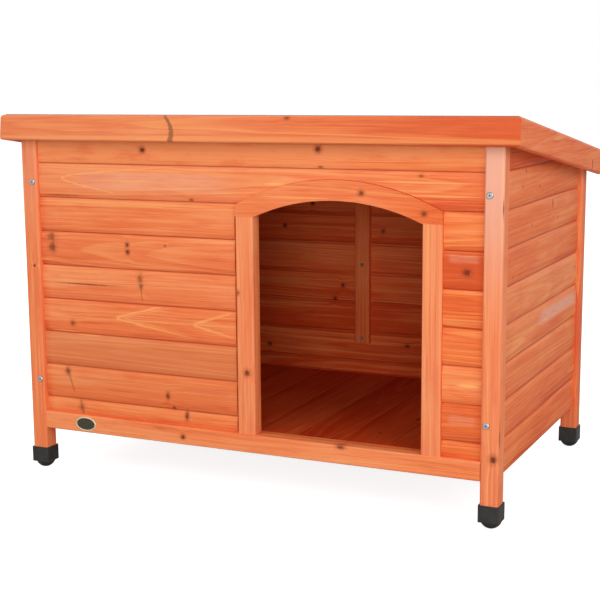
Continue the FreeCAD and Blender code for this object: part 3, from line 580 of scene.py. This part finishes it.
# Light slivers and pink patches as (middle, height, half length, half height, strength).
LEFT_STREAKS = ((-400.0, 288.0, 45.0, 2.5, 0.5), (-350.0, 283.0, 40.0, 3.0, 0.5),
                (-260.0, 545.0, 260.0, 5.0, 0.45), (-180.0, 425.0, 120.0, 4.0, 0.3))
RIGHT_STREAKS = ((428.0, 252.0, 27.0, 4.5, 0.85),)
OVER_STREAKS = ((63.0, 590.5, 30.0, 4.0, 0.9), (345.0, 600.0, 130.0, 2.6, 0.7),
                (365.0, 577.5, 110.0, 2.6, 0.6), (-250.0, 588.0, 110.0, 4.0, 0.3))
SILL_STREAKS = ((195.0, 92.0, 30.0, 2.5, 0.5), (-280.0, 96.0, 80.0, 3.0, 0.35))
RIGHT_PATCHES = ((418.0, 472.0, 34.0, 10.0, 0.4), (418.0, 189.0, 32.0, 12.0, 0.3))
OVER_PATCHES = ((-200.0, 587.0, 200.0, 24.0, 0.35),)
SIDE_PATCHES = ((130.0, 327.0, 190.0, 18.0, 0.95),)

# Branch marks as (start place, height, end place, height, bow, start half width, end, strength).
LEFT_MARKS = ((-388.0, 166.0, -404.0, 214.0, 0.0, 2.5, 4.0, 0.4),
              (-370.0, 116.0, -375.0, 150.0, 2.0, 2.0, 3.5, 0.45),
              (-224.0, 358.0, -226.0, 386.0, 0.0, 1.0, 1.8, 0.55),
              (-425.0, 444.0, -429.0, 482.0, 2.0, 3.0, 4.0, 0.35))
FASCIA_MARKS = ((-138.0, 664.0, -151.0, 713.0, 9.0, 7.0, 4.0, 0.75),)
SIDE_FASCIA_MARKS = ((207.0, 613.0, 198.0, 586.0, 5.0, 7.0, 4.0, 0.7),)

# Tone, pink and dull of single boards by their number above the seam.
LEFT_ROWS = {-1: (0.25, 0.0, 0.05), 0: (0.15, 0.03, 0.2), 1: (0.15, 0.05, 0.5),
             2: (0.2, 0.06, 0.0), 3: (0.2, 0.08, 0.0), 4: (0.2, 0.08, 0.0), 5: (0.2, 0.06, 0.0)}
RIGHT_ROWS = {0: (-0.1, 0.0, 0.1), 1: (0.35, 0.0, 0.0), 2: (0.25, 0.0, 0.0), 3: (0.1, 0.0, 0.0),
              4: (-0.3, 0.0, 0.15), 5: (0.15, 0.0, 0.0)}
SIDE_ROWS = {0: (0.0, 0.03, 0.0), 1: (0.0, 0.03, 0.05), 2: (0.05, 0.05, 0.05),
             3: (0.1, 0.06, 0.05), 4: (0.05, 0.05, 0.05), 5: (0.0, 0.05, 0.0),
             6: (-0.1, 0.03, 0.0), 7: (-0.25, 0.0, 0.0)}

# What the boards of one wall have in common.
FRONT = {"axes": ALONG_X, "course": (FRONT_SEAM, BOARD_PITCH), "centre": (0.0, FRONT_DEPTH),
         "indoor_shade": (-290.0, -288.0, 0.3)}
SIDE = {"axes": ALONG_Y, "course": (SIDE_SEAM, BOARD_PITCH)}
# Painted shade: these front boards get darker towards the right, as the light falls from the
# upper left.
PAINTED_SHADE_TO_THE_RIGHT = ((0, 0.0, 480.0, -0.33, -0.05),)
LIGHTER_FROM_THE_END = ((0, -455.0, -432.0, 0.3, 0.0),)


def dress_walls():
    dress(pine("pine_front_left", seed=3.1, tone=-0.27, knots=LEFT_KNOTS, curves=LEFT_CURVES,
               rows=LEFT_ROWS, streaks=LEFT_STREAKS, marks=LEFT_MARKS,
               fades=LIGHTER_FROM_THE_END, **FRONT), "front_boards_left")
    dress(pine("pine_front_right", seed=11.7, knots=RIGHT_KNOTS, rows=RIGHT_ROWS, tone=0.2,
               streaks=RIGHT_STREAKS, patches=RIGHT_PATCHES, fades=PAINTED_SHADE_TO_THE_RIGHT, **FRONT),
          "front_boards_right")
    dress(pine("pine_front_top", seed=5.3, knots=TOP_KNOTS, tone=0.6,
               fades=PAINTED_SHADE_TO_THE_RIGHT, **FRONT), "front_board_top")
    dress(pine("pine_front_over_door", seed=7.9, curves=OVER_CURVES, tone=0.25, pink=0.1,
               knots=OVER_KNOTS, streaks=OVER_STREAKS, patches=OVER_PATCHES,
               fades=PAINTED_SHADE_TO_THE_RIGHT, **FRONT), "front_board_over_door")
    dress(pine("pine_side_right", seed=21.3, centre=(0.0, 480.0), rows=SIDE_ROWS, tone=0.1,
               indoor_shade=(472.0, 470.0, 0.2), patches=SIDE_PATCHES, knots=SIDE_KNOTS, **SIDE),
          "right_boards")
    dress(pine("pine_side_left", seed=33.9, centre=(0.0, -480.0), share=0.12, tone=0.1,
               indoor_shade=(-472.0, -470.0, 0.2), **SIDE), "left_boards")
    dress(pine("pine_back", ALONG_X, seed=45.1, course=(BACK_SEAM, BOARD_PITCH),
               centre=(0.0, 292.0), indoor_shade=(288.0, 286.0, 0.15), share=0.05, tone=-0.15,
               knots=BACK_KNOTS), "back_boards")


def dress_front():
    dress(pine("pine_sill", ALONG_X, seed=51.3, centre=(103.0, FRONT_DEPTH), tone=0.15,
               pink=0.05, knots=SILL_KNOTS, streaks=SILL_STREAKS), "front_sill")
    dress(pine("pine_arch", ALONG_X, seed=57.7, centre=(560.0, FRONT_DEPTH), tone=0.05,
               pink=0.08, fades=((0, 230.0, 370.0, -0.4, -0.05),), knots=ARCH_KNOTS,
               streaks=((100.0, 568.0, 90.0, 2.5, 0.6),)), "door_arch")
    # Uprights take their marks as (height, place along X, ...).
    dress(pine("pine_casing_left", UPRIGHT, seed=61.1, centre=(0.0, FRONT_DEPTH), tone=0.2,
               pink=0.12, knots=((238.6, 2.6, 6.5, 6.5, 0.8), (388.3, -14.0, 5.0, 4.0, 0.5))),
          "door_casing_left")
    dress(pine("pine_casing_right", UPRIGHT, seed=67.3, centre=(362.0, FRONT_DEPTH), tone=0.15,
               pink=0.15), "door_casing_right")


def dress_posts():
    plain = {"tone": 0.1, "pink": 0.1, "fades": ((2, 400.0, 660.0, 0.1, 0.15),)}
    own = {
        "front_left": {"knots": ((416.4, -466.9, 2.6, 2.6, 0.95),)},
        "front_right": {"knots": ((128.0, 477.6, 8.0, 6.5, 0.85), (165.0, 488.0, 20.0, 1.2, 0.6),
                                  (560.0, 487.0, 14.0, 1.0, 0.6)),
                        "tone": 0.4, "pink": 0.15, "fades": ((2, 330.0, 650.0, 0.1, 0.8),)},
    }
    for index, name in enumerate(("front_left", "front_right", "rear_left", "rear_right")):
        front = "front" in name
        centre = (POST_X if "right" in name else -POST_X, FRONT_POST_Y if front else REAR_POST_Y)
        looks = {**plain, **own.get(name, {})}
        dress(pine("pine_post_" + name, UPRIGHT, seed=71.0 + 3.7 * index, centre=centre,
                   front_face=(-303.0, -300.0) if front else None, **looks), "post_" + name)


def dress_roof():
    dress(pine("pine_fascia_front", ALONG_X, seed=83.3, centre=(686.0, -326.0), tone=0.25,
               pink=0.12, dull=0.2, fades=((0, -100.0, 500.0, -0.65, -0.1),),
               knots=((98.6, 709.0, 6.0, 3.5, 0.6),), streaks=((40.0, 671.0, 900.0, 7.0, 0.35),),
               marks=FASCIA_MARKS), "roof_fascia_front")
    dress(pine("pine_fascia_rear", ALONG_X, seed=87.9, centre=(600.0, 325.0), share=0.1,
               tone=-0.1), "roof_fascia_rear")
    dress(pine("pine_fascia_right", ALONG_Y, seed=93.3, centre=(650.0, 510.0), tone=0.2,
               pink=0.05, marks=SIDE_FASCIA_MARKS, streaks=((-70.0, 668.0, 60.0, 6.0, 0.5),)),
          "roof_fascia_right")
    dress(pine("pine_fascia_left", ALONG_Y, seed=97.1, centre=(650.0, -510.0), share=0.15,
               tone=-0.1), "roof_fascia_left")
    dress(pine("pine_roof_deck", DECK_ALONG_X, seed=103.1, course=(-320.0, 80.0),
               centre=(0.0, 650.0), share=0.1, tone=0.1), "roof_deck")
    dress(pine("pine_roof_battens", DECK_ALONG_Y, seed=109.1, course=(-650.0, 100.0),
               centre=(0.0, 630.0), tone=0.15, groove=0.3), "roof_battens")
    dress(felt("roofing_felt"), "roof_felt")


def dress_inside():
    dress(pine("pine_floor", DECK_ALONG_Y, seed=113.7, course=(0.0, FLOOR_BOARD),
               centre=(0.0, 110.0), share=0.08, groove=1.5, indoor_shade=(90.0, 100.0, 0.8)),
          "floor_boards_left", "floor_boards_right")
    dress(pine("pine_across", ALONG_X, seed=127.1, centre=(100.0, 0.0), tone=-0.1),
          "front_floor_rail", "back_floor_rail", "floor_ledges", "front_top_rail",
          "back_top_rail", "floor_battens_left", "floor_battens_right")
    dress(pine("pine_lengthwise", ALONG_Y, seed=131.9, centre=(100.0, 0.0), tone=0.1),
          "side_floor_rails", "side_top_rails", "floor_middle_bearer")
    dress(pine("pine_upright", UPRIGHT, seed=137.3, centre=(0.0, 280.0), tone=0.1,
               indoor_shade=(282.0, 270.0, 0.1)), "back_middle_batten")
    dress(pine("pine_corner", UPRIGHT, seed=141.3, centre=(0.0, 280.0), tone=0.1),
          "back_corner_battens", "front_corner_battens", "door_batten_left",
          "door_batten_right", "side_middle_battens", "left_corner_battens",
          "right_corner_battens")


def dress_fittings():
    """Dresses caps, screws, hinges and stays, and gives back the zinc for the staples."""
    dress(plastic("cap_plastic", srgb(42, 41, 38)), "foot_cap_front_left",
          "foot_cap_front_right", "foot_cap_rear_left", "foot_cap_rear_right")
    zinc = metal("zinc_steel", srgb(186, 186, 186), srgb(140, 142, 146))
    dress(screw_steel("screw_steel"), "post_screws")
    dress(zinc, "back_batten_screws", "hinge_fixed_leaves", "hinge_moving_leaves",
          "hinge_pins", "hinge_fixed_screws", "hinge_moving_screws", "stay_left", "stay_right",
          "stay_bracket_left", "stay_bracket_right", "stay_wall_pins")
    return zinc


def add_piece(name, bm, materials):
    """A new object from a bmesh, in the frame of the model, that rides on the house."""
    mesh = bpy.data.meshes.new(name)
    bm.to_mesh(mesh)
    bm.free()
    piece = bpy.data.objects.new(name, mesh)
    bpy.context.scene.collection.objects.link(piece)
    for material in materials:
        mesh.materials.append(material)
    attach(piece, "house")
    return piece


def skin(bm, rings, slots=None):
    """Smooth faces from each ring of vertices to the next; slots numbers the bands' materials."""
    for index, (first, second) in enumerate(zip(rings, rings[1:])):
        for k in range(len(first)):
            after = (k + 1) % len(first)
            face = bm.faces.new((first[k], second[k], second[after], first[after]))
            face.smooth = True
            if slots:
                face.material_index = slots[index]


PLATE_SIDES = 96
RIM, FACE = 0, 1
# From the back's edge to the face's middle: share of the half axes, way forward from the back in
# shares of the thickness, material.
PLATE_PROFILE = (
    (1.0, 0.0, RIM), (1.0, 0.55, RIM), (0.98, 0.9, RIM), (0.94, 1.0, RIM), (0.85, 1.0, RIM),
    (0.81, 0.85, RIM), (0.79, 0.45, FACE), (0.74, 0.40, FACE), (0.5, 0.5, FACE),
    (0.2, 0.56, FACE))


def make_plate():
    """Blank oval badge plate: domed face with a raised rim, on the node's place."""
    low, high = (Vector(corner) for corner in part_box("oval_plate"))
    middle = (low + high) / 2
    half_x, half_z = (high.x - low.x) / 2, (high.z - low.z) / 2
    back, front = high.y, low.y
    turns = [2 * math.pi * k / PLATE_SIDES for k in range(PLATE_SIDES)]
    bm = bmesh.new()
    rings = []
    for share, forward, _ in PLATE_PROFILE:
        inset = (1 - share) * half_z
        wide, tall = half_x - inset, half_z - inset
        y = back + (front - back) * forward
        rings.append([bm.verts.new((middle.x + wide * math.cos(turn), y,
                                    middle.z + tall * math.sin(turn))) for turn in turns])
    skin(bm, rings, [slot for _, _, slot in PLATE_PROFILE[1:]])
    bm.faces.new(rings[-1]).material_index = FACE
    bm.faces.new(list(reversed(rings[0])))
    bmesh.ops.recalc_face_normals(bm, faces=bm.faces)
    rim = metal("plate_rim", srgb(240, 230, 196), srgb(222, 206, 160))
    face = metal("plate_face", srgb(92, 86, 74), srgb(64, 60, 52), roughness=0.45)
    plate = add_piece("oval_plate_formed", bm, (rim, face))
    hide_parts("oval_plate")


# Staples in metres. The path is (way out of the board, share of the half length).
STAPLE_WIRE = 0.00055           # radius of the wire
STAPLE_SIDES = 8
STAPLE_HALF = 0.0042
STAPLE_LEG = 0.0016             # how deep its ends go into the board
STAPLE_SINK = 0.35              # how deep its back lies in the board, in wire radii
STAPLE_FROM_END = 0.042
STAPLE_ROWS = 7
STAPLE_CROWN = STAPLE_WIRE * 0.3
STAPLE_PATH = ((-STAPLE_LEG, -1.0), (0.0, -0.92), (STAPLE_CROWN, -0.5), (STAPLE_CROWN, 0.5),
               (0.0, 0.92), (-STAPLE_LEG, 1.0))


def make_staples(zinc):
    """Bent wire staples that hold the ends of the side boards, one to each board and end."""
    low, high = (Vector(corner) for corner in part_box("right_boards"))
    face = {1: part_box("right_boards")[1][0], -1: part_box("left_boards")[0][0]}
    turns = [math.tau * k / STAPLE_SIDES for k in range(STAPLE_SIDES)]
    bm = bmesh.new()
    for side in (1, -1):
        section = [Vector((STAPLE_WIRE * math.cos(turn) * side, 0, STAPLE_WIRE * math.sin(turn)))
                   for turn in turns]
        x = face[side] - side * STAPLE_WIRE * STAPLE_SINK
        for y in (low.y + STAPLE_FROM_END, high.y - STAPLE_FROM_END):
            for row in range(STAPLE_ROWS):
                z = (SIDE_SEAM + BOARD_PITCH * (row - 0.5)) / 1000
                rings = []
                for out, share in STAPLE_PATH:
                    point = Vector((x, y, z)) + Vector((side * out, STAPLE_HALF * share, 0))
                    rings.append([bm.verts.new(point + corner) for corner in section])
                skin(bm, rings)
                bm.faces.new(rings[0])
                bm.faces.new(list(reversed(rings[-1])))
    bmesh.ops.recalc_face_normals(bm, faces=bm.faces)
    add_piece("side_board_staples", bm, (zinc,))


dress_walls()
dress_front()
dress_posts()
dress_roof()
dress_inside()
zinc_steel = dress_fittings()
make_plate()
make_staples(zinc_steel)

# The photograph's camera: place in metres, angles in radians, lengths in pixels of its frame.
CAMERA_PLACE = (1.0978, -2.423145, 0.7723)
CAMERA_YAW, CAMERA_PITCH, CAMERA_ROLL = 0.443047, 0.173515, 0.008583
FRAME_SIDE = 600
FOCAL_LENGTH = 1312.46
AXIS_X, AXIS_Y = 289.82, 311.36   # where the optical axis meets the frame
SENSOR_MM = 36.0


def make_camera():
    """Camera at the photograph's place."""
    yaw, pitch, roll = CAMERA_YAW, CAMERA_PITCH, CAMERA_ROLL
    ahead = Vector((-math.sin(yaw) * math.cos(pitch), math.cos(yaw) * math.cos(pitch),
                    -math.sin(pitch)))
    right = Vector((math.cos(yaw), math.sin(yaw), 0.0))
    down = ahead.cross(right)
    turned_right = right * math.cos(roll) + down * math.sin(roll)
    turned_down = down * math.cos(roll) - right * math.sin(roll)
    camera = bpy.data.objects.new("camera", bpy.data.cameras.new("camera"))
    bpy.context.scene.collection.objects.link(camera)
    axes = Matrix((turned_right, -turned_down, -ahead)).transposed()
    camera.matrix_world = Matrix.Translation(CAMERA_PLACE) @ axes.to_4x4()
    camera.data.sensor_width = SENSOR_MM
    camera.data.lens = FOCAL_LENGTH / FRAME_SIDE * SENSOR_MM
    camera.data.shift_x = (FRAME_SIDE / 2 - AXIS_X) / FRAME_SIDE
    camera.data.shift_y = (AXIS_Y - FRAME_SIDE / 2) / FRAME_SIDE
    camera.data.clip_end = 100.0
    bpy.context.scene.camera = camera


# Studio: lamps as (name, place, diameter, watts), all turned to one target.
LAMP_TARGET = (0.0, 0.0, 0.35)
LAMPS = (
    ("key", (-1.6, -4.2, 3.4), 2.2, 38.0),
    ("front", (1.5, -3.9, 1.0), 1.6, 42.0),
    ("fill", (3.6, -2.6, 2.2), 2.4, 66.0),
    ("top", (0.0, 0.6, 4.2), 3.0, 32.0),
    ("back", (-2.4, 3.6, 2.4), 2.6, 70.0),
)
WHITE = (1.0, 1.0, 1.0, 1.0)
SOFT_LIGHT = 0.5                # strength of the world's light on the object
BACKGROUND = 1.0                # strength of the world as the camera and reflections see it
FLOOR_GREY = (0.5, 0.5, 0.5, 1.0)
FLOOR_GLOW = 0.85               # what the camera sees on top of the floor's own light
FLOOR_HALF = 14.0


def make_lamp(name, place, size, power):
    data = bpy.data.lights.new(name, "AREA")
    data.shape = "DISK"
    data.size = size
    data.energy = power
    lamp = bpy.data.objects.new(name, data)
    lamp.location = place
    lamp.rotation_mode = "QUATERNION"
    lamp.rotation_quaternion = (Vector(LAMP_TARGET) - Vector(place)).to_track_quat("-Z", "Y")
    bpy.context.scene.collection.objects.link(lamp)


def make_world():
    """White to the camera and to reflections, plainer light on the object."""
    world = bpy.data.worlds.new("studio")
    bpy.context.scene.world = world
    world.use_nodes = True
    g = Graph(world.node_tree)
    rays = g.tree.nodes.new("ShaderNodeLightPath").outputs
    seen = g.most(rays["Is Camera Ray"],
                  g.most(rays["Is Glossy Ray"], rays["Is Transmission Ray"]))
    soft = g.add("Background", {"Color": WHITE, "Strength": SOFT_LIGHT})
    white = g.add("Background", {"Color": WHITE, "Strength": BACKGROUND})
    g.end("World", g.add("MixShader", {0: seen, 1: soft, 2: white}))


def make_floor():
    """Plain pale floor that keeps the object's shadow."""
    half = FLOOR_HALF
    mesh = bpy.data.meshes.new("floor")
    mesh.from_pydata([(-half, -half, 0), (half, -half, 0), (half, half, 0), (-half, half, 0)],
                     [], [(0, 1, 2, 3)])
    floor = bpy.data.objects.new("studio_floor", mesh)
    bpy.context.scene.collection.objects.link(floor)
    material, g = new_material("studio_floor")
    rays = g.tree.nodes.new("ShaderNodeLightPath").outputs
    matt = g.add("BsdfDiffuse", {"Color": FLOOR_GREY})
    glow = g.add("Emission", {"Color": WHITE, "Strength": FLOOR_GLOW})
    lit = g.add("AddShader", {0: matt, 1: glow})
    g.end("Material", g.add("MixShader", {0: rays["Is Camera Ray"], 1: matt, 2: lit}))
    mesh.materials.append(material)


make_camera()
make_world()
make_floor()
for lamp_settings in LAMPS:
    make_lamp(*lamp_settings)
bpy.context.scene.view_settings.view_transform = "Standard"
